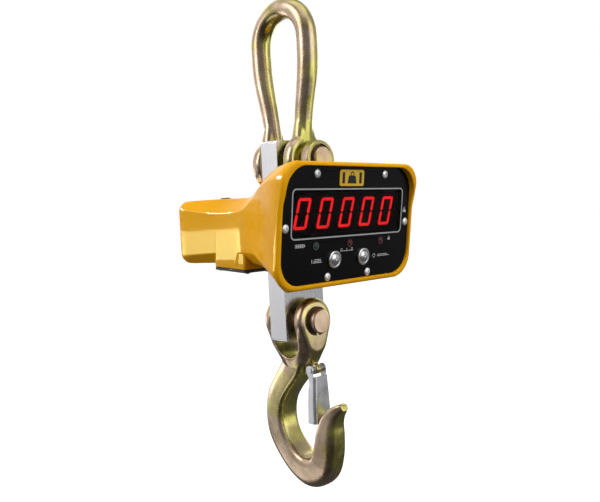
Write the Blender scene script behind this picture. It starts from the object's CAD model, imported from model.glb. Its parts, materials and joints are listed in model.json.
import json
import math

import bmesh
import bpy
from mathutils import Matrix, Vector


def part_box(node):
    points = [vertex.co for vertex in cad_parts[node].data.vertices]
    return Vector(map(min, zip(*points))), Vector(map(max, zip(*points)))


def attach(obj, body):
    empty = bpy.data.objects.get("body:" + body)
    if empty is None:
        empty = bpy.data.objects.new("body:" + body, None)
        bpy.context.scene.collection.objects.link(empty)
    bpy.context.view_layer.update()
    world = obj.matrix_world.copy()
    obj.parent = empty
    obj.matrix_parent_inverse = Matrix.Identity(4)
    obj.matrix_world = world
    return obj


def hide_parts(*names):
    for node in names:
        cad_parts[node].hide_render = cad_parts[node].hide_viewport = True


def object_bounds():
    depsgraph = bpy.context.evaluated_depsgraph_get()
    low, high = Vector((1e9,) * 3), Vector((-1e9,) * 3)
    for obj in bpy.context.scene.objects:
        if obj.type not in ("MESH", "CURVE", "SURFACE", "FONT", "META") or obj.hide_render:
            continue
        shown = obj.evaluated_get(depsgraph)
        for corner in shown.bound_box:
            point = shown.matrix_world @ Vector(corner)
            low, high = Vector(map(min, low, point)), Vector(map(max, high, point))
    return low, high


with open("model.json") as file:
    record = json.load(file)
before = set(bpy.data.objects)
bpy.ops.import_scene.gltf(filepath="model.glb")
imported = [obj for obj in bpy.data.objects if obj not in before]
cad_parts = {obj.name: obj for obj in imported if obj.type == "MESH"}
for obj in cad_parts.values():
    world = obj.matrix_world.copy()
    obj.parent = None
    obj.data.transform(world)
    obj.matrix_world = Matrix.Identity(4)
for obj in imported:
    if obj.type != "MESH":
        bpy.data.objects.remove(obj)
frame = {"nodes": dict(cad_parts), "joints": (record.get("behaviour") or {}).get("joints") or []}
cad_box = [list(v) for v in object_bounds()]
nodes = frame["nodes"]
joints = {j["name"]: j for j in frame["joints"]}

MM = 0.001
VOXEL = 0.9  # grid of the forged skins, in millimetres
CORNER_STEPS, SIDE_STEPS = 14, 6  # points on each corner and side of an outline
scene = bpy.context.scene

# Heights in millimetres and directions that the record states
PIN_Z = joints["shackle_swing"]["pos_m"][2] / MM
HOOK_Z = joints["hook_swing"]["pos_m"][2] / MM
PRESS = Vector(joints["left_button_press"]["axis"])
TILT = math.atan2(PRESS.z, PRESS.y)


# ---------------------------------------------------------------- helpers


def box_mm(node):
    """Lowest and highest corner of a CAD node, in millimetres."""
    lo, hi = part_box(node)
    return [v / MM for v in lo], [v / MM for v in hi]


def angles(count):
    """Equal steps round a full turn."""
    return [2 * math.pi * k / count for k in range(count)]


def add_object(name, verts, faces, material=None, body=None, slot=None, smooth=40):
    """A mesh object from points in millimetres."""
    mesh = bpy.data.meshes.new(name)
    mesh.from_pydata([(x * MM, y * MM, z * MM) for x, y, z in verts], [], faces)
    mesh.update()
    obj = bpy.data.objects.new(name, mesh)
    scene.collection.objects.link(obj)
    dress(obj, material, body, slot, smooth)
    return obj


def dress(obj, material=None, body=None, slot=None, smooth=40):
    """Material, shading with a sharp edge above an angle, body and slot of a piece."""
    mesh = obj.data
    if material:
        mesh.materials.clear()
        mesh.materials.append(material)
    if smooth:
        mesh.shade_smooth()
        mesh.set_sharp_from_angle(angle=math.radians(smooth))
    if body:
        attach(obj, body)


def apply_modifiers(obj):
    """Puts the modified mesh in place of the object's own."""
    graph = bpy.context.evaluated_depsgraph_get()
    graph.update()
    mesh = bpy.data.meshes.new_from_object(obj.evaluated_get(graph))
    old = obj.data
    obj.modifiers.clear()
    obj.data = mesh
    mesh.name = obj.name
    bpy.data.meshes.remove(old)


def drop(obj):
    mesh = obj.data
    bpy.data.objects.remove(obj)
    bpy.data.meshes.remove(mesh)


def combine(obj, other, operation):
    """Union or difference with another closed mesh, which is used up."""
    modifier = obj.modifiers.new("combine", "BOOLEAN")
    modifier.operation = operation
    modifier.solver = "MANIFOLD"
    modifier.object = other
    apply_modifiers(obj)
    drop(other)


def add(obj, other):
    combine(obj, other, "UNION")


def cut(obj, other):
    combine(obj, other, "DIFFERENCE")


def forge(obj, rounds):
    """Blends a union of solids into one skin with soft fillets, as forging leaves it."""
    remesh = obj.modifiers.new("remesh", "REMESH")
    remesh.mode = "VOXEL"
    remesh.voxel_size = VOXEL * MM
    smooth = obj.modifiers.new("smooth", "SMOOTH")
    smooth.iterations = rounds
    smooth.factor = 0.5
    apply_modifiers(obj)


def loft(name, rings, **facts):
    """Closed solid through rings with equal point counts."""
    n = len(rings[0])
    verts = [p for ring in rings for p in ring]
    faces = []
    for k in range(len(rings) - 1):
        for i in range(n):
            a, b = k * n + i, k * n + (i + 1) % n
            faces.append((a, b, b + n, a + n))
    faces.append(tuple(range(n))[::-1])
    faces.append(tuple((len(rings) - 1) * n + i for i in range(n)))
    obj = add_object(name, verts, faces, smooth=0)
    b = bmesh.new()
    b.from_mesh(obj.data)
    bmesh.ops.recalc_face_normals(b, faces=b.faces)
    b.to_mesh(obj.data)
    b.free()
    dress(obj, **facts)
    return obj


def prism(name, ring, heights, place=None):
    """Closed solid with one outline at both heights, placed by a matrix, for cutting and joining."""
    rings = [[(x, y, h) for x, y in ring] for h in heights]
    if place:
        rings = [[place @ Vector(p) for p in row] for row in rings]
    return loft(name, rings, smooth=0)


def rod(name, r, a, b, sides=64):
    """Plain cylinder from point a to point b."""
    a, b = Vector(a), Vector(b)
    place = Matrix.Translation(a) @ (b - a).to_track_quat("Z", "Y").to_matrix().to_4x4()
    circle = [(r * math.cos(q), r * math.sin(q)) for q in angles(sides)]
    return prism(name, circle, (0, (b - a).length), place)


def block(name, lo, hi):
    xs, ys, zs = zip(lo, hi)
    return prism(name, [(xs[0], ys[0]), (xs[1], ys[0]), (xs[1], ys[1]), (xs[0], ys[1])], zs)


def hull(name, points):
    """Convex hull of points in millimetres."""
    b = bmesh.new()
    for p in points:
        b.verts.new([c * MM for c in p])
    result = bmesh.ops.convex_hull(b, input=b.verts)
    left_over = result["geom_interior"] + result["geom_unused"]
    spare = list({g for g in left_over if isinstance(g, bmesh.types.BMVert)})
    bmesh.ops.delete(b, geom=spare, context="VERTS")
    bmesh.ops.recalc_face_normals(b, faces=b.faces)
    mesh = bpy.data.meshes.new(name)
    b.to_mesh(mesh)
    b.free()
    obj = bpy.data.objects.new(name, mesh)
    scene.collection.objects.link(obj)
    return obj


def disc_points(r, y0, y1, fillet, z):
    """Points of a filleted disc about Y."""
    circles = []
    for y, radius in ((y0, r - fillet), (y0 + fillet * 0.3, r - fillet * 0.3), (y0 + fillet, r)):
        circles += [(y, radius), (y0 + y1 - y, radius)]
    return [
        (radius * math.cos(q), y, z + radius * math.sin(q))
        for y, radius in circles
        for q in angles(48)
    ]


def blend4(a, b, c, d, t):
    """Catmull-Rom value between b and c."""
    square, cube = 2 * a - 5 * b + 4 * c - d, 3 * b - a - 3 * c + d
    return 0.5 * (2 * b + (c - a) * t + square * t * t + cube * t ** 3)


def smooth_list(stations, steps):
    """Rows of numbers on a smooth curve through the stations, with a number of steps between two."""
    out = []
    last = len(stations) - 1
    for i in range(last):
        rows = [stations[max(i - 1, 0)], stations[i], stations[i + 1], stations[min(i + 2, last)]]
        for k in range(steps):
            out.append([blend4(*column, k / steps) for column in zip(*rows)])
    out.append(list(stations[last]))
    return out


def lerp(a, b, t):
    return a + (b - a) * t


def ease(t):
    """Smooth step from 0 to 1."""
    t = max(0.0, min(1.0, t))
    return t * t * (3 - 2 * t)


def heading(path, k):
    """Unit direction of a path of (y, z, ...) rows at row k."""
    a, b = path[max(k - 1, 0)], path[min(k + 1, len(path) - 1)]
    return Vector((b[0] - a[0], b[1] - a[1])).normalized()


def corner_point(r, k, bevel):
    """Point k of a first-quadrant corner of radius r, between a round one and a flat facet."""
    middle, f = CORNER_STEPS // 2, min(3.0, r / 2)
    trim = f * math.tan(math.radians(22.5))
    round_angle = math.pi / 2 * k / CORNER_STEPS
    if k == middle:
        flat = (r / 2, r / 2)
    elif k < middle:
        angle = math.radians(45 * k / (middle - 1))
        flat = (r - f + f * math.cos(angle), f * math.sin(angle) - trim)
    else:
        angle = math.radians(45 + 45 * (k - middle - 1) / (middle - 1))
        flat = (f * math.cos(angle) - trim, r - f + f * math.sin(angle))
    return lerp(r * math.cos(round_angle), flat[0], bevel), lerp(r * math.sin(round_angle), flat[1], bevel)


def outline(w, h, r, mid=0.0, low_r=None, bevel=0.0):
    """Points of a rounded rectangle, half sizes w and h round height mid; low_r is for the lower corners."""
    corners = []
    for q in range(4):
        sx, sz = (1, -1, -1, 1)[q], (1, 1, -1, -1)[q]
        radius = r if q < 2 or low_r is None else low_r
        turn = Matrix.Rotation(math.pi / 2 * q, 2)
        centre = Vector((sx * (w - radius), mid + sz * (h - radius)))
        quarter = [Vector(corner_point(radius, k, bevel)) for k in range(CORNER_STEPS + 1)]
        corners.append([centre + turn @ p for p in quarter])
    points = []
    for q in range(4):
        points += corners[q]
        start, stop = corners[q][-1], corners[(q + 1) % 4][0]
        points += [start.lerp(stop, k / SIDE_STEPS) for k in range(1, SIDE_STEPS)]
    return [tuple(v) for v in points]


# The panel frame: x right, u up, then out of the panel; its origin is on the face at the window's centre
LENS_DEPTH = 1.4  # the lens's middle below the panel's face
lens_mid = Vector([(a + b) / 2 for a, b in zip(*box_mm("window_lens"))])
panel_turn = Matrix.Rotation(math.pi / 2 + TILT, 4, "X")
PANEL = Matrix.Translation(lens_mid) @ panel_turn @ Matrix.Translation((0, 0, LENS_DEPTH))


def in_panel(node):
    """A CAD node's points in the panel frame."""
    return [PANEL.inverted() @ (v.co / MM) for v in nodes[node].data.vertices]


# ---------------------------------------------------------------- materials


class Paint:
    """A principled material and short ways to build its node tree."""

    def __init__(self, name, color=(0.5, 0.5, 0.5), rough=0.5, metal=0.0, **sockets):
        self.material = bpy.data.materials.new(name)
        self.material.use_nodes = True
        self.tree = self.material.node_tree
        self.bsdf = self.tree.nodes["Principled BSDF"]
        self.set("Base Color", (*color, 1))
        self.set("Roughness", rough)
        self.set("Metallic", metal)
        for key, value in sockets.items():
            self.set(key.replace("_", " "), value)
        source = self.node("ShaderNodeTexCoord")
        self.coords, self.normals = source.outputs["Object"], source.outputs["Normal"]

    def set(self, socket, value):
        self.bsdf.inputs[socket].default_value = value

    def node(self, kind, **values):
        n = self.tree.nodes.new(kind)
        for key, value in values.items():
            setattr(n, key, value)
        return n

    def link(self, a, b):
        self.tree.links.new(a, b)

    def noise(self, scale, detail=3.0, rough=0.5, stretch=None, warp=0.0):
        n = self.node("ShaderNodeTexNoise")
        n.inputs["Scale"].default_value = scale
        n.inputs["Detail"].default_value = detail
        n.inputs["Roughness"].default_value = rough
        n.inputs["Distortion"].default_value = warp
        source = self.coords
        if stretch:
            m = self.node("ShaderNodeMapping")
            m.inputs["Scale"].default_value = stretch
            self.link(self.coords, m.inputs["Vector"])
            source = m.outputs["Vector"]
        self.link(source, n.inputs["Vector"])
        return n.outputs["Fac"]

    def ramp(self, source, stops):
        r = self.node("ShaderNodeValToRGB")
        while len(r.color_ramp.elements) < len(stops):
            r.color_ramp.elements.new(0.5)
        for element, (at, color) in zip(r.color_ramp.elements, stops):
            element.position = at
            element.color = (*color, 1)
        self.link(source, r.inputs["Fac"])
        return r.outputs["Color"]

    def range(self, source, lo, hi, a=0.3, b=0.7):
        """Maps a to b onto lo to hi; a noise mostly lies between 0.3 and 0.7."""
        m = self.node("ShaderNodeMapRange")
        m.inputs["From Min"].default_value = a
        m.inputs["From Max"].default_value = b
        m.inputs["To Min"].default_value = lo
        m.inputs["To Max"].default_value = hi
        self.link(source, m.inputs["Value"])
        return m.outputs["Result"]

    def mix(self, factor, a, b):
        """Colour a where the factor is 0 and b where it is 1; each is a colour or an output."""
        m = self.node("ShaderNodeMix", data_type="RGBA")
        self.link(factor, m.inputs[0])
        for socket, value in ((m.inputs[6], a), (m.inputs[7], b)):
            if hasattr(value, "is_linked"):
                self.link(value, socket)
            else:
                socket.default_value = (*value, 1)
        return m.outputs[2]

    def bump(self, source, depth, strength=1.0, onto=None):
        b = self.node("ShaderNodeBump")
        b.inputs["Strength"].default_value = strength
        b.inputs["Distance"].default_value = depth
        self.link(source, b.inputs["Height"])
        if onto is not None:
            self.link(onto, b.inputs["Normal"])
        self.link(b.outputs["Normal"], self.bsdf.inputs["Normal"])
        return b.outputs["Normal"]


def zinc_yellow(name, bias, rough=(0.18, 0.34), tone=1.0):
    """Steel in yellow passivated zinc: olive and gold, and pinkish brown in patches and on faces towards -X.
    A higher bias gives more of the brown."""
    p = Paint(name, metal=1.0)

    def shades(*stops):
        return [(at, tuple(c * tone for c in color)) for at, color in stops]

    olive = p.ramp(p.noise(26, 3, 0.55, warp=0.6), shades(
        (0.30, (0.36, 0.34, 0.07)), (0.45, (0.52, 0.49, 0.11)),
        (0.60, (0.68, 0.62, 0.19)), (0.74, (0.46, 0.38, 0.12)),
    ))
    blush = p.ramp(p.noise(38, 3, 0.5), shades((0.35, (0.42, 0.29, 0.22)), (0.60, (0.62, 0.46, 0.38))))
    facing = p.node("ShaderNodeSeparateXYZ")
    p.link(p.normals, facing.inputs["Vector"])
    total = p.node("ShaderNodeMath", operation="ADD")
    p.link(p.range(facing.outputs["X"], 1.0 + bias, bias, -0.95, 0.0), total.inputs[0])
    p.link(p.range(p.noise(17, 2, 0.5, warp=1.2), -0.6, 0.6, 0.35, 0.65), total.inputs[1])
    color = p.mix(p.range(total.outputs[0], 0, 0.9, 0.15, 0.95), olive, blush)
    fine_dirt = tuple(c * tone for c in (0.36, 0.28, 0.17))
    p.link(p.mix(p.range(p.noise(240, 4, 0.6), 0, 0.3), color, fine_dirt), p.bsdf.inputs["Base Color"])
    p.link(p.range(p.noise(90, 3), *rough), p.bsdf.inputs["Roughness"])
    dents = p.bump(p.noise(150, 2), 0.0003, 0.35)
    p.bump(p.noise(1400, 2), 0.00004, 0.5, onto=dents)
    return p.material


def steel(name, color, rough, grain=(1, 1, 1), spots=0.15, fine=500, depth=0.00003):
    """Plated or polished metal with fine scratches along one direction and cloudy wear."""
    p = Paint(name, color, metal=1.0)
    dark = tuple(c * (1 - spots) for c in color)
    p.link(p.mix(p.range(p.noise(60, 3), 0, 1), color, dark), p.bsdf.inputs["Base Color"])
    scratch = p.noise(fine, 2, stretch=grain)
    p.link(p.range(scratch, rough * 0.75, rough * 1.3), p.bsdf.inputs["Roughness"])
    p.bump(scratch, depth, 0.4)
    return p.material


def plastic(name, color, rough, coat=0.0, grain=900, depth=0.00005, **sockets):
    """Moulded or printed surface with a fine grain and faint clouds of a lighter tone."""
    p = Paint(name, color, rough, **sockets)
    p.set("Coat Weight", coat)
    p.set("Coat Roughness", 0.06)
    speck = p.noise(grain, 2)
    light = tuple(min(1, c * 1.35 + 0.002) for c in color)
    p.link(p.mix(p.range(p.noise(40, 3), 0, 0.5), color, light), p.bsdf.inputs["Base Color"])
    p.link(p.range(speck, rough * 0.8, rough * 1.25), p.bsdf.inputs["Roughness"])
    p.bump(speck, depth, 0.4)
    return p.material


def yellow_paint():
    """Thick gloss paint over a sand casting, with orange peel, faint sags and a little handling wear."""
    p = Paint("yellow_gloss_paint", rough=0.3)
    p.set("Coat Weight", 0.15)
    p.set("Coat Roughness", 0.04)
    p.set("Specular IOR Level", 0.01)
    tone = p.mix(p.range(p.noise(14, 3), 0, 1), (0.87, 0.41, 0.004), (0.81, 0.365, 0.004))
    scuff = p.range(p.noise(700, 3, 0.7, stretch=(1, 1, 0.25)), 0, 0.35, 0.66, 0.74)
    p.link(p.mix(scuff, tone, (0.85, 0.52, 0.08)), p.bsdf.inputs["Base Color"])
    p.link(p.range(p.noise(120, 3), 0.22, 0.38), p.bsdf.inputs["Roughness"])
    sags = p.bump(p.noise(45, 2), 0.0005, 0.18)
    p.bump(p.noise(420, 2), 0.00006, 0.35, onto=sags)
    return p.material


def glow(name, color, strength):
    """Lit segments, a little uneven."""
    p = Paint(name, (0.05, 0.0, 0.0), 0.35)
    lit = p.mix(p.range(p.noise(90, 2), 0, 1), color, tuple(c * 0.86 for c in color))
    p.link(lit, p.bsdf.inputs["Emission Color"])
    p.set("Emission Strength", strength)
    return p.material


def lamp_part(name, green, red, rough, coat):
    """Unlit lamps and their rings: the first one greenish, the other two dark red."""
    p = Paint(name, rough=rough)
    p.set("Coat Weight", coat)
    split = p.node("ShaderNodeSeparateXYZ")
    p.link(p.coords, split.inputs["Vector"])
    first = p.range(split.outputs["X"], 1, 0, -0.03, -0.02)
    speck = p.mix(p.range(p.noise(300, 2), 0, 1), red, tuple(c * 0.6 for c in red))
    p.link(p.mix(first, speck, green), p.bsdf.inputs["Base Color"])
    return p.material


def clear_window():
    """Clear sheet with a faint haze."""
    p = Paint("window_clear", (0.80, 0.74, 0.74), 0.03)
    p.set("Transmission Weight", 1.0)
    p.set("IOR", 1.12)
    p.link(p.range(p.noise(300, 2), 0.0, 0.02), p.bsdf.inputs["Roughness"])
    return p.material


# Short key: material
M = {
    "zinc": zinc_yellow("yellow_zinc_forged", bias=0.12),
    "zinc_pin": zinc_yellow("yellow_zinc_turned", bias=0.75, rough=(0.34, 0.46), tone=1.3),
    "clip": steel("brown_spring_steel", (0.12, 0.075, 0.05), 0.4),
    "bar": steel(
        "plated_bar", (0.80, 0.80, 0.82), 0.24, grain=(1, 1, 0.03), spots=0.04, fine=2500, depth=0.000004
    ),
    "plain": steel("plain_zinc", (0.55, 0.56, 0.58), 0.35),
    "bright": steel("bright_steel", (0.82, 0.82, 0.83), 0.16, spots=0.05),
    "screw": steel("nickel_screw", (0.92, 0.92, 0.92), 0.5, spots=0.05),
    "latch": steel("bright_zinc_sheet", (0.86, 0.87, 0.89), 0.34, fine=70, depth=0.000001),
    "brass": steel("turned_brass", (0.65, 0.48, 0.20), 0.3),
    "foil": steel("gauge_foil", (0.60, 0.40, 0.15), 0.3),
    "rubber": plastic("black_rubber", (0.018, 0.018, 0.019), 0.6, grain=500, depth=0.0001),
    "yellow": yellow_paint(),
    "black": plastic("black_moulded", (0.014, 0.014, 0.015), 0.45),
    "module": plastic("black_matt_module", (0.0018, 0.0015, 0.0015), 0.7, Specular_IOR_Level=0.12),
    "panel": plastic(
        "black_gloss_panel", (0.0035, 0.003, 0.0035), 0.2, depth=0.00001, Specular_IOR_Level=0.16
    ),
    "silver": plastic("silver_print", (0.50, 0.51, 0.52), 0.3, coat=0.3),
    "print": plastic("grey_print", (0.62, 0.62, 0.62), 0.5),
    "board": plastic("green_board", (0.015, 0.10, 0.04), 0.45),
    "battery": plastic("grey_battery_case", (0.05, 0.055, 0.07), 0.5),
    "foam": plastic("grey_foam", (0.07, 0.07, 0.075), 0.9, grain=300, depth=0.0004),
    "cover": plastic("dark_cover_plate", (0.03, 0.03, 0.033), 0.4),
    "badge": plastic("yellow_badge", (1.0, 0.56, 0.025), 0.35, coat=0.1),
    "badge_mark": plastic("black_badge_print", (0.008, 0.008, 0.008), 0.35),
    "digit": glow("red_segments", (0.98, 0.008, 0.012), 1.15),
    "lamp": lamp_part("lamp_lenses", (0.035, 0.06, 0.045), (0.12, 0.010, 0.018), 0.15, 0.6),
    "lamp_ring": lamp_part("lamp_rings", (0.06, 0.085, 0.075), (0.15, 0.025, 0.055), 0.25, 0.4),
    "window": clear_window(),
}

# Material of each CAD node that shows or lies inside
KEEP = {
    "shackle_pin": "zinc_pin", "hook_pin": "zinc_pin", "shackle_collar": "zinc", "shackle_pin_clip": "clip",
    "hook_pin_clip": "clip", "load_cell": "bar", "gauge_covers": "bar", "strain_gauges": "foil",
    "cell_gland": "plain", "cell_cable": "rubber", "cell_brackets": "plain", "cell_bracket_bolts": "plain",
    "upper_seal": "rubber", "lower_seal": "rubber", "vent_plug": "rubber", "charging_socket": "black",
    "socket_nut": "plain", "front_panel": "panel", "panel_gasket": "rubber", "panel_screws": "screw",
    "window_frame": "silver", "window_lens": "window", "digit_modules": "module", "digit_segments": "digit",
    "display_board": "board", "main_board": "board", "board_standoffs": "brass", "board_parts": "black",
    "indicator_leds": "lamp", "led_bezels": "lamp_ring", "panel_plate": "badge", "button_nuts": "plain",
    "left_button": "bright", "right_button": "bright", "left_button_spring": "plain",
    "right_button_spring": "plain", "battery": "battery", "battery_pad": "foam", "battery_gasket": "rubber",
    "battery_cover": "cover", "battery_cover_screws": "plain", "latch": "latch", "latch_pin": "latch",
    "latch_spring": "plain",
}
# Width of the rounded edges, in millimetres
BEVELS = {
    "load_cell": 0.5, "shackle_pin": 0.4, "hook_pin": 0.4, "shackle_collar": 0.3, "latch_pin": 0.3,
    "battery_cover": 0.5, "front_panel": 0.4, "window_frame": 0.15, "panel_plate": 0.25,
    "panel_screws": 0.15, "charging_socket": 0.4, "vent_plug": 0.3, "cell_brackets": 0.3,
    "shackle_pin_clip": 0.2, "hook_pin_clip": 0.2,
}
for node, key in KEEP.items():
    obj = nodes[node]
    obj.data.materials.clear()
    obj.data.materials.append(M[key])
    weld = obj.modifiers.new("weld", "WELD")
    weld.merge_threshold = 0.00001
    if node in BEVELS:
        bevel = obj.modifiers.new("bevel", "BEVEL")
        bevel.width = BEVELS[node] * MM
        bevel.segments = 3
        bevel.limit_method = "ANGLE"
        bevel.angle_limit = math.radians(38)
for node in ("left_button_spring", "right_button_spring", "latch_spring", "cell_cable"):
    round_off = nodes[node].modifiers.new("round", "SUBSURF")
    round_off.levels = 1
    round_off.render_levels = 1


# ---------------------------------------------------------------- shackle

PIN_BORE = 13.05
ROD_R = 11.25
EYE_IN, EYE_T = 17.0, 15.0  # inner face and thickness of an eye
EYE_FILLET = 4.5
LEG_IN = 12.2  # how far a leg's end lies inside the bow's widest point
SPOT_R = 21.5  # flat faces outside the eyes, for the pin's head and collar
FAR = 60  # past every face along Y
bow_hi = box_mm("shackle_bow")[1]
EYE_R = bow_hi[0]
BOW_R = bow_hi[1] - ROD_R - 0.3
BOW_Z = bow_hi[2] - ROD_R - BOW_R

# Half of the bow's centre line from its top, as rows of y, z and radius: a quarter circle, then the leg
arc_rows = [
    (BOW_R * math.sin(math.radians(a)), BOW_Z + BOW_R * math.cos(math.radians(a)), ROD_R)
    for a in range(0, 91, 15)
]
leg_rows = [
    (BOW_R - inward, BOW_Z - down, ROD_R - thinner)
    for inward, down, thinner in (
        (0, 14, 0), (0.6, 28, 0), (2.4, 42, 0.3), (5.4, 57, 0.8), (8.6, 73, 1.3), (11.2, 89, 1.6),
        (LEG_IN, 102, 1.4), (LEG_IN, 112, 1.2),
    )
]
half = arc_rows + leg_rows
path = smooth_list([(-y, z, r) for y, z, r in half[:0:-1]] + half, 6)
rings = []
for k, (y, z, r) in enumerate(path):
    along = heading(path, k)
    side = Vector((0, -along.y, along.x))
    rings.append([Vector((r * math.cos(q), y, z)) + side * (r * math.sin(q)) for q in angles(40)])
bow = loft("bow_forging", rings, smooth=0)
for side in (-1, 1):
    y0, y1 = sorted((side * EYE_IN, side * (EYE_IN + EYE_T)))
    neck = [
        (9.2 * math.cos(q), side * (BOW_R - LEG_IN) + 7.4 * math.sin(q), PIN_Z + 46) for q in angles(24)
    ]
    add(bow, hull("eye", disc_points(EYE_R, y0, y1, EYE_FILLET, PIN_Z)))
    add(bow, hull("shoulder", disc_points(16.5, y0, y1, EYE_FILLET, PIN_Z + 13) + neck))
forge(bow, 14)
cut(bow, rod("bore", PIN_BORE, (0, -FAR, PIN_Z), (0, FAR, PIN_Z)))
for side in (-1, 1):
    face_y = side * (EYE_IN + EYE_T + 0.1)
    cut(bow, rod("spot_face", SPOT_R, (0, face_y, PIN_Z), (0, side * FAR, PIN_Z), 96))
bow.name = "bow_forged"
dress(bow, M["zinc"], "shackle", "zinc_yellow", 45)
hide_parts("shackle_bow")


# ---------------------------------------------------------------- hook

HOOK_W = 31.0
# Rows along the hook's centre line: y, z below the pin, depth, share of the width
HOOK_ROWS = [
    [1, -42, 36, 1.02], [6.5, -54, 33, 1], [20.5, -71, 30, 0.98], [32, -88, 30, 1],
    [36.5, -108, 30, 1], [34, -128, 30, 1.02], [23, -146, 29, 1.03], [5, -162, 31, 1.04],
    [-14, -168, 34, 1.04], [-31, -161, 32, 1.02], [-39, -143, 30, 0.98], [-42.5, -123, 27, 0.92],
    [-45.5, -109, 22, 0.82], [-51.5, -99, 16.5, 0.68], [-59, -92.5, 11.5, 0.5], [-64, -90.5, 7, 0.34],
]


def power_curve(value, power):
    return math.copysign(abs(value) ** power, value)


def hook_ring(y, z, depth, wide, along):
    """Section across the centre line: square towards the bowl, rounder on the back."""
    ring = []
    for q in angles(56):
        c, s = math.cos(q), -math.sin(q)
        power = 0.4 if c < 0 else 0.7
        out = power_curve(c, power)
        half_w = HOOK_W * wide / 2 * (power_curve(s, power) * (1 - 0.06 * (out + 1)))
        ring.append((half_w, y - depth / 2 * out * along.y, HOOK_Z + z + depth / 2 * out * along.x))
    return ring


path = smooth_list(HOOK_ROWS, 8)
hook = loft("hook_forging", [hook_ring(*row, heading(path, k)) for k, row in enumerate(path)], smooth=0)

# Fork over the load bar: two cheeks that run down into an oval shank
FORK_GAP, CHEEK_T, CHEEK_FILLET = 18.3, 11.2, 5
SHANK_R, SHANK_FLAT, SHANK_DOWN = 21, 0.76, 50
CROTCH = HOOK_Z - 22.3
points = []
for side in (-1, 1):
    y0, y1 = sorted((side * FORK_GAP, side * (FORK_GAP + CHEEK_T)))
    points += disc_points(25, y0, y1, CHEEK_FILLET, HOOK_Z)
    points += disc_points(18, y0, y1, CHEEK_FILLET, HOOK_Z - 20)
points += [
    (SHANK_R * SHANK_FLAT * math.cos(q), -1 + SHANK_R * math.sin(q), HOOK_Z - SHANK_DOWN + h)
    for q in angles(48)
    for h in (0, 2)
]
fork = hull("fork", points)
cut(fork, block("slot", (-40, -FORK_GAP, CROTCH), (40, FORK_GAP, CROTCH + 80)))
cut(fork, rod("slot_end", FORK_GAP - 0.01, (-40, 0, CROTCH), (40, 0, CROTCH)))
add(hook, fork)

# Lug for the latch's pin
LUG_X, LATCH_BORE = 4.0, 2.65
_, pivot_y, pivot_z = (c / MM for c in joints["latch_open"]["pos_m"])
lug = [
    (x, y + r * math.cos(q), z + r * math.sin(q))
    for y, z, r in ((pivot_y, pivot_z, 5.4), (-6, pivot_z + 6, 6), (2, pivot_z - 4, 6))
    for q in angles(32)
    for x in (-LUG_X, LUG_X)
]
add(hook, hull("lug", lug))
forge(hook, 7)
cut(hook, rod("bore", PIN_BORE, (0, -FAR, HOOK_Z), (0, FAR, HOOK_Z)))
cut(hook, rod("latch_bore", LATCH_BORE, (-30, pivot_y, pivot_z), (30, pivot_y, pivot_z)))
hook.name = "hook_forged"
dress(hook, M["zinc"], "hook_body", "zinc_yellow", 45)
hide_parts("hook")


# ---------------------------------------------------------------- housing

PANEL_W = box_mm("front_panel")[1][0]
panel_us = [p.y for p in in_panel("front_panel")]
PANEL_MID, PANEL_H = (min(panel_us) + max(panel_us)) / 2, (max(panel_us) - min(panel_us)) / 2
PANEL_R = 26.0
WALL = 3.5
RIM_FILLET = 3.2  # outside the rim
LIP_FILLET = 0.9  # inside the rim
PANEL_PLAY = 0.3
SEAT = -4.5  # the panel's seat behind its face
TROUGH_R, TROUGH_FRONT, TROUGH_BACK = 32, -56, 42  # room round the shackle's eyes and its pin
# Stations from the panel back: y, half width, top and bottom from the upper pin, radius of the upper corners,
# tilt in degrees, radius of the lower corners, and 0 for round to 1 for flat corners
BODY = [
    [-92.6, 103.2, -8.5, -132.5, 22, 7.7, 26, 0], [-80, 102.5, -8.7, -132, 17, 7.7, 23, 0.45],
    [-60, 94, -11.5, -126, 13.5, 6, 20, 0.85], [-30, 78, -17, -118, 13.5, 3, 17, 1],
    [0, 60, -25.5, -111.5, 14, 1, 15, 1], [30, 46.5, -34, -108.5, 14, 0, 13, 1],
    [55, 42.5, -34.5, -108, 16, 0, 12, 1], [82, 42, -33.5, -108, 16.5, 0, 12, 1],
    [115, 46, -33, -108, 13.5, 0, 11, 1], [136, 49.5, -33, -108, 11.5, 0, 11, 0.6],
    [145, 48.5, -34, -107, 10.5, 0, 10.5, 0.2], [150, 44, -38.5, -102.5, 8, 0, 8, 0],
]


def body_ring(s, inset=0.0):
    """Ring of the body at a station, heights measured from the upper pin."""
    y, w, top, low, r, tilt, low_r, bevel = s
    w, top, low, r, low_r = w - inset, top - inset, low + inset, max(r - inset, 2), max(low_r - inset, 2)
    mid, h = (top + low) / 2, (top - low) / 2
    lean = math.tan(math.radians(tilt))
    ring = outline(w, h, r, low_r=low_r, bevel=bevel)
    return [Vector((x, y - z * lean, PIN_Z + mid + z)) for x, z in ring]


def hood(u):
    """How far the rim stands out of the panel's face at height u."""
    return lerp(2.5, 6.4, ease((u - 5) / 20))


def rim_ring(inset, out):
    """Ring of the rim in the panel frame, inset from the body's outline, at height out(u)."""
    y, w, top, low, r, tilt, low_r, bevel = BODY[0]
    result = []
    for p in body_ring([y, w - inset, top - inset, low + inset, r - inset, tilt, low_r - inset, bevel]):
        q = PANEL.inverted() @ p
        result.append(PANEL @ Vector((q.x, q.y, out(q.y))))
    return result


def plate_ring(grow, out, w=PANEL_W, h=PANEL_H, r=PANEL_R, mid=PANEL_MID):
    """Ring of a rounded rectangle in the panel frame, at height out(u)."""
    return [PANEL @ Vector((x, u, out(u))) for x, u in outline(w + grow, h + grow, r + grow, mid)]


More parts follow.
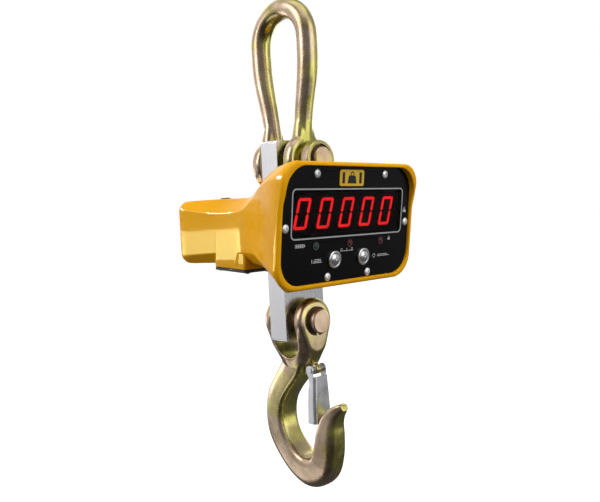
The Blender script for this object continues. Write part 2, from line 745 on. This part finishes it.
# Rings from the rear end forward, round the rim, over its lip and down to the panel's seat
shell = [body_ring(s) for s in reversed(smooth_list(BODY[1:], 8))]
shell.append(rim_ring(0, lambda u: hood(u) - RIM_FILLET - 1.5))
for a in (0, 18, 36, 54, 72, 90):
    a = math.radians(a)
    inset = RIM_FILLET * (1 - math.cos(a))
    shell.append(rim_ring(inset, lambda u: hood(u) - RIM_FILLET * (1 - math.sin(a))))
for a in (90, 60, 30, 0):
    a = math.radians(a)
    grow = PANEL_PLAY + LIP_FILLET * (1 - math.cos(a))
    shell.append(plate_ring(grow, lambda u: hood(u) - LIP_FILLET * (1 - math.sin(a))))
shell.append(plate_ring(PANEL_PLAY, lambda u: SEAT))
housing = loft("housing_casting", shell, smooth=0)

# Battery boss, leaning 4 degrees: half width, half depth and height of its rings, and how much sharper the
# corners are
BOSS = Matrix.Translation((0, 62.5, PIN_Z - 113)) @ Matrix.Rotation(math.radians(4), 4, "X")
boss_rings = [
    [BOSS @ Vector((x, y, h)) for x, y in outline(w, d, 4 - c)]
    for w, d, h, c in ((42.2, 26.7, 0, 0.8), (42.8, 27.3, 0.3, 0.2), (43, 27.5, 0.9, 0), (43, 27.5, 40, 0))
]
add(housing, loft("boss", boss_rings, smooth=0))

# Room inside the walls, with a wall kept round the trough
REAR_Y = 140  # the stations past it belong to the rear wall
first = [lerp(a, b, 0.65) for a, b in zip(BODY[1], BODY[2])]
inner = [first] + [[s[0] - WALL if s[0] > REAR_Y else s[0], *s[1:]] for s in BODY[2:]]
cavity = loft("cavity", [body_ring(s, WALL) for s in smooth_list(inner, 4)], smooth=0)
cut(cavity, rod("pocket", TROUGH_R + WALL, (0, TROUGH_FRONT - WALL, PIN_Z), (0, TROUGH_BACK + WALL, PIN_Z)))
cut(housing, cavity)

# Openings: behind the panel, the trough, the load bar's slot, the battery well, the socket and the vent
window = [plate_ring(0, lambda u: o, w=88.5, h=46.25, r=12, mid=-12.75) for o in (-20.5, 10)]
cut(housing, loft("opening", window, smooth=0))
cut(housing, rod("trough", TROUGH_R, (0, TROUGH_FRONT, PIN_Z), (0, TROUGH_BACK, PIN_Z), 96))
cut(housing, prism("slot", outline(32.5, 14.7, 3), (PIN_Z - 200, PIN_Z + 20)))
cut(housing, prism("well", outline(33, 20.5, 3), (-1, 48), BOSS))
cut(housing, rod("socket", 8.1, (0, REAR_Y, PIN_Z - 72), (0, 155, PIN_Z - 72)))
cut(housing, rod("vent", 3.05, (0, 115, PIN_Z - 43), (0, 115, PIN_Z - 23)))
housing.name = "housing_cast"
dress(housing, M["yellow"], "scale_body", "yellow_paint", 32)
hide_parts("housing")


# ---------------------------------------------------------------- panel details


def bar(x, u, w, h, turn=0.0):
    """Outline of a flat bar on the panel."""
    c, s = math.cos(turn), math.sin(turn)
    corners = [(-w / 2, -h / 2), (w / 2, -h / 2), (w / 2, h / 2), (-w / 2, h / 2)]
    return [(x + a * c - b * s, u + a * s + b * c) for a, b in corners]


def arc(x, u, r, t, start=0, stop=360):
    """Short bars of width t round an arc of radius r."""
    steps = max(6, int((stop - start) / 20))
    length = 2 * r * math.sin(math.radians((stop - start) / steps / 2)) + 0.15
    turns = [math.radians(start + (i + 0.5) * (stop - start) / steps) for i in range(steps)]
    return [bar(x + r * math.cos(a), u + r * math.sin(a), t, length, a) for a in turns]


def slab(name, outlines, low, high, **facts):
    """Flat prisms standing on the panel's face, in one piece."""
    verts, faces = [], []
    for points in outlines:
        n, k = len(points), len(verts)
        verts += [PANEL @ Vector((x, u, h)) for h in (low, high) for x, u in points]
        faces += [tuple(k + i for i in range(n))[::-1], tuple(k + n + i for i in range(n))]
        faces += [(k + i, k + (i + 1) % n, k + n + (i + 1) % n, k + n + i) for i in range(n)]
    return add_object(name, verts, faces, body="scale_body", **facts)


legend = slab("panel_legend", [
    # battery symbol and level bars beside the first lamp
    *(bar(-72, -30.5 + du, 12, 0.5) for du in (-1.4, 1.4)),
    *(bar(-72 + dx, -30.5, 0.5, 3.3) for dx in (-6, 6)),
    bar(-65.3, -30.5, 0.8, 1.6),
    *(bar(-76 + i * 2.6, -30.5, 1.7, 1.7) for i in range(4)),
    # stack of sheets for the stored weight, left of the left button
    *(bar(-46.5, -48.3 + i * 1.5, 13 - 2 * i, 0.7) for i in range(3)),
    bar(-54.5, -46.8, 0.7, 3.8),
    # balance for zero, between the buttons
    bar(-3.5, -39.2, 20, 0.6), bar(-3.5, -38.0, 0.7, 2.6),
    *arc(-3.5 - 8, -37.7, 1.1, 0.5), *arc(-3.5 + 8, -37.7, 1.1, 0.5),
    # power symbol and bars, right of the right button
    *arc(41, -47.5, 2.0, 0.6, 120, 420), bar(41, -46, 0.6, 2.2),
    bar(55, -46.8, 17, 0.7), bar(57, -48.3, 21, 0.7),
    # lock beside the last lamp
    bar(65, -30.6, 3.6, 2.4), *arc(65, -29.2, 1.2, 0.5, 0, 180),
    # weight at the window's right, standing for the unit
    bar(90, -1.2, 5, 2.2), bar(90, 0.6, 3.4, 1.6), *arc(90, 2.3, 1.0, 0.5),
], 0.02, 0.14, material=M["print"], slot="print_grey")
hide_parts("panel_marks")

# Five leaning zeros of lit segments with mitred corners
DIGIT_W, DIGIT_H, DIGIT_PITCH, DIGIT_SHIFT = 17.6, 30.5, 31.9, -2.6
STROKE, SEGMENT_GAP, CORNER_CUT = 2.9, 0.4, 1.5
LEAN = math.tan(math.radians(12))


def zero_shapes():
    """The six lit segments of an upright zero, each as an outline."""
    w, h, t, g, c = DIGIT_W / 2, DIGIT_H / 2, STROKE, SEGMENT_GAP, CORNER_CUT
    across = [
        (-w + g + c, h), (w - g - c, h), (w - g - c / 2, h - c / 2),
        (w - g - t, h - t), (-w + g + t, h - t), (-w + g + c / 2, h - c / 2),
    ]
    post = [
        (-w, h - g - c), (-w + c / 2, h - g - c / 2), (-w + t, h - g - t),
        (-w + t, g + t / 2), (-w + t / 2, g), (-w, g + t / 2),
    ]
    return [
        [(sx * x, sy * u) for x, u in shape]
        for shape, flips in ((across, ((1, 1), (1, -1))), (post, ((1, 1), (1, -1), (-1, 1), (-1, -1))))
        for sx, sy in flips
    ]


face = max(p.z for p in in_panel("digit_segments"))
lit = [
    [(x + u * LEAN + DIGIT_SHIFT + DIGIT_PITCH * k, u) for x, u in shape]
    for k in range(-2, 3) for shape in zero_shapes()
]
digits = slab("digit_glow", lit, face - 0.6, face, material=M["digit"], slot="red_segments")
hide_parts("digit_segments")

# Black card round the digit modules, behind the window
CARD_X, CARD_U = 85, 24.5
MODULES_X, MODULES_U = 73.8, 20.3
face = max(p.z for p in in_panel("digit_modules"))
strips = [
    [(x0, u0), (x1, u0), (x1, u1), (x0, u1)]
    for x0, x1, u0, u1 in (
        (-CARD_X, CARD_X, MODULES_U, CARD_U), (-CARD_X, CARD_X, -CARD_U, -MODULES_U),
        (MODULES_X, CARD_X, -MODULES_U, MODULES_U),
    )
]
slab("display_card", strips, face - 1.2, face - 0.4, material=M["module"], slot="black_plastic")

# Badge: a plain weight between two bars
BADGE_X, BADGE_U = -1.5, 35.0
badge = [
    [(x + BADGE_X, u + BADGE_U) for x, u in shape]
    for shape in (
        [(-7, -5.6), (7, -5.6), (5, 2.4), (-5, 2.4)],
        [(-14.8, -5.6), (-11, -5.6), (-11, 5.6), (-14.8, 5.6)],
        [(11, -5.6), (14.8, -5.6), (14.8, 5.6), (11, 5.6)],
    )
]
badge += arc(BADGE_X, BADGE_U + 3.9, 2.1, 1.1)
slab("badge_print", badge, 0.78, 0.92, material=M["badge_mark"], slot="black_plastic")

# Turned bezels round the buttons' caps, from the panel's back over the rim and down the bore
BUTTON_X, BUTTON_U, SIDES = 22.3, -47, 72
BEZEL = [
    (8, -14), (8, 0), (9, 0.02), (9, 1.5), (8.85, 1.95), (8.5, 2.25), (8.0, 2.4), (7.0, 2.4), (6.75, 2.3),
    (6.55, 2.05), (6.45, 1.6), (6.3, -10.9), (2.3, -11), (2.3, -14),
]
for name, x in (("left", -BUTTON_X), ("right", BUTTON_X)):
    place = PANEL @ Matrix.Translation((x, BUTTON_U, 0))
    verts = [place @ Vector((r * math.cos(q), r * math.sin(q), h)) for r, h in BEZEL for q in angles(SIDES)]
    faces = []
    for i in range(len(BEZEL)):
        here, there = i * SIDES, (i + 1) % len(BEZEL) * SIDES
        faces += [
            (here + k, here + (k + 1) % SIDES, there + (k + 1) % SIDES, there + k) for k in range(SIDES)
        ]
    bezel = add_object(name + "_bezel", verts, faces, M["bright"], "scale_body", "bright_steel", 35)
    if name == "left":
        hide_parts("button_barrels")


# ---------------------------------------------------------------- stage, light, camera


def compass(azimuth, elevation):
    """Unit direction from the object, in degrees: azimuth 0 is in front of the display, 90 at its right."""
    a, e = math.radians(azimuth), math.radians(elevation)
    return Vector((math.sin(a) * math.cos(e), -math.cos(a) * math.cos(e), math.sin(e)))


def seen_or(tree, to_camera, to_others, output):
    """Joins two shaders: one for what the camera sees directly, one for all other light."""
    path = tree.nodes.new("ShaderNodeLightPath")
    choose = tree.nodes.new("ShaderNodeMixShader")
    tree.links.new(path.outputs["Is Camera Ray"], choose.inputs[0])
    tree.links.new(to_others, choose.inputs[1])
    tree.links.new(to_camera, choose.inputs[2])
    tree.links.new(choose.outputs[0], output)


def stage_material(name):
    """Pale to the camera; lights and reflections pass it, as over a light table."""
    p = Paint(name, rough=0.9)
    tone = p.mix(p.range(p.noise(1.5, 2), 0, 0.25), (0.5, 0.5, 0.5), (0.48, 0.48, 0.48))
    p.link(tone, p.bsdf.inputs["Base Color"])
    p.set("Emission Color", (1, 1, 1, 1))
    p.set("Emission Strength", 0.7)
    clear = p.node("ShaderNodeBsdfTransparent")
    seen_or(p.tree, p.bsdf.outputs[0], clear.outputs[0], p.tree.nodes["Material Output"].inputs["Surface"])
    return p.material


FLOOR_Z = cad_box[0][2] - 0.10  # the scale hangs over the floor
FLOOR_HALF = 9
floor_mesh = bpy.data.meshes.new("floor")
floor_corners = [(x * FLOOR_HALF, y * FLOOR_HALF, FLOOR_Z) for x, y in ((-1, -1), (1, -1), (1, 1), (-1, 1))]
floor_mesh.from_pydata(floor_corners, [], [(0, 1, 2, 3)])
floor = bpy.data.objects.new("floor", floor_mesh)
scene.collection.objects.link(floor)
floor_mesh.materials.append(stage_material("pale_floor"))

CAMERA_DISTANCE = 0.78486
CAMERA_ROLL = math.radians(-3.05)
CAMERA_TARGET = Vector((0.00913, 0.0, PIN_Z * MM - 0.09737))
SENSOR, FOCAL_PX, FRAME_PX = 36, 700.91, 600  # sensor width in mm; focal length and frame width in pixels
back = compass(-44.67, 2.46)
right = (-back).cross(Vector((0, 0, 1))).normalized()
up = right.cross(-back)
camera_x = right * math.cos(CAMERA_ROLL) + up * math.sin(CAMERA_ROLL)
camera_y = up * math.cos(CAMERA_ROLL) - right * math.sin(CAMERA_ROLL)
camera_data = bpy.data.cameras.new("camera")
camera_data.sensor_width = SENSOR
camera_data.lens = SENSOR * FOCAL_PX / FRAME_PX
camera_data.clip_end = 50
camera = bpy.data.objects.new("camera", camera_data)
scene.collection.objects.link(camera)
camera_turn = Matrix((camera_x, camera_y, back)).transposed().to_4x4()
camera.matrix_world = Matrix.Translation(CAMERA_TARGET + back * CAMERA_DISTANCE) @ camera_turn
scene.camera = camera


def softbox(name, azimuth, elevation, distance, size, power, color=(1, 1, 1)):
    """Area light aimed at the object's middle."""
    centre = Vector((0, 0, (cad_box[0][2] + cad_box[1][2]) / 2))
    at = centre + distance * compass(azimuth, elevation)
    data = bpy.data.lights.new(name, "AREA")
    data.shape = "RECTANGLE"
    data.size, data.size_y = size
    data.energy = power
    data.color = color
    lamp = bpy.data.objects.new(name, data)
    scene.collection.objects.link(lamp)
    lamp.location = at
    lamp.rotation_mode = "QUATERNION"
    lamp.rotation_quaternion = (centre - at).to_track_quat("-Z", "Y")
    lamp.visible_camera = False
    return lamp


painted = bpy.data.collections.new("painted")
painted.objects.link(housing)
forged = bpy.data.collections.new("forged")
plated = [nodes[name] for name in ("shackle_pin", "hook_pin", "shackle_collar", "panel_screws")]
for part in (bow, hook, *plated):
    forged.objects.link(part)


def card(group, *place, diffuse=False, color=(1, 1, 1)):
    """A softbox that only one group of pieces takes, by default in its gloss alone."""
    lamp = softbox(*place, color)
    lamp.light_linking.receiver_collection = group
    lamp.visible_diffuse = diffuse


# Cards for single highlights, then the soft light for everything: azimuth, elevation, distance, size, power
card(painted, "flank_card", -135, -5.7, 1.7, (1.5, 0.36), 66, color=(0.9, 0.95, 0.4))
card(painted, "crease_card", -147, 27, 1.6, (0.7, 0.3), 220, color=(1, 0.92, 0.6))
card(painted, "rim_card", -15, 34, 1.7, (0.9, 0.6), 7, diffuse=True)
card(forged, "back_card", -165, -8, 1.6, (0.9, 0.5), 2.6)
card(forged, "ear_card", 45, -7, 1.6, (0.8, 0.7), 1.6)
softbox("key_left", -112, 32, 1.6, (0.8, 1.2), 9)
softbox("low_left", -135, -38, 1.6, (1.4, 0.5), 2.5)
softbox("right", 112, 10, 1.6, (0.6, 1.6), 5)
softbox("top", -20, 78, 1.5, (1.2, 1.2), 4)
softbox("rear", 165, 25, 1.8, (1.2, 1.4), 5)

world = bpy.data.worlds.new("studio")
scene.world = world
world.use_nodes = True
tree = world.node_tree
tree.nodes.clear()


def world_math(kind, operation, *values):
    """First output of a math node fed with numbers, vectors or outputs."""
    n = tree.nodes.new(kind)
    n.operation = operation
    for socket, value in zip(n.inputs, values):
        if hasattr(value, "is_linked"):
            tree.links.new(value, socket)
        else:
            socket.default_value = value
    return n.outputs[0]


def times(a, b):
    return world_math("ShaderNodeMath", "MULTIPLY", a, b)


def plus(a, b):
    return world_math("ShaderNodeMath", "ADD", a, b)


def fade(value, zero, one):
    """Smooth step from 0 to 1 between two values."""
    n = tree.nodes.new("ShaderNodeMapRange")
    n.interpolation_type = "SMOOTHSTEP"
    n.inputs["From Min"].default_value = zero
    n.inputs["From Max"].default_value = one
    tree.links.new(value, n.inputs["Value"])
    return n.outputs[0]


way = tree.nodes.new("ShaderNodeTexCoord").outputs["Generated"]
split = tree.nodes.new("ShaderNodeSeparateXYZ")
tree.links.new(way, split.inputs[0])
height = split.outputs["Z"]
level = world_math("ShaderNodeVectorMath", "MULTIPLY", way, (1, 1, 0))
level = world_math("ShaderNodeVectorMath", "NORMALIZE", level)


def patch(azimuth, inner, outer, low, high):
    """1 inside a stretch of the room's wall, 0 outside: azimuths as for the softboxes, heights as sines."""
    n = tree.nodes.new("ShaderNodeVectorMath")
    n.operation = "DOT_PRODUCT"
    tree.links.new(level, n.inputs[0])
    n.inputs[1].default_value = compass(azimuth, 0)
    across = fade(n.outputs["Value"], math.cos(math.radians(outer)), math.cos(math.radians(inner)))
    return times(across, times(fade(height, low - 0.15, low), fade(height, high + 0.2, high)))


# A pale room for reflections and fill, darker low down and at the front left, with a tall light in front
# and a pale wall behind; the camera itself sees plain white
room_level = times(plus(0.2, times(fade(height, -0.4, 0.1), 0.8)), 0.5)
room_level = times(room_level, plus(1.0, times(patch(-62, 36, 60, -0.8, 0.5), -0.5)))
room_level = plus(room_level, times(patch(14, 17, 28, -0.05, 0.6), 1.3))
room_level = plus(room_level, times(patch(-172, 42, 66, -0.25, 1.0), 0.38))
grey = tree.nodes.new("ShaderNodeCombineXYZ")
for socket in grey.inputs:
    tree.links.new(room_level, socket)
room = tree.nodes.new("ShaderNodeBackground")
tree.links.new(grey.outputs[0], room.inputs["Color"])
white = tree.nodes.new("ShaderNodeBackground")
white.inputs["Color"].default_value = (1, 1, 1, 1)
world_output = tree.nodes.new("ShaderNodeOutputWorld")
seen_or(tree, white.outputs[0], room.outputs[0], world_output.inputs["Surface"])
scene.view_settings.view_transform = "Standard"
scene.view_settings.look = "None"

# The CAD box and the visual model's box, for comparison
bpy.context.view_layer.update()
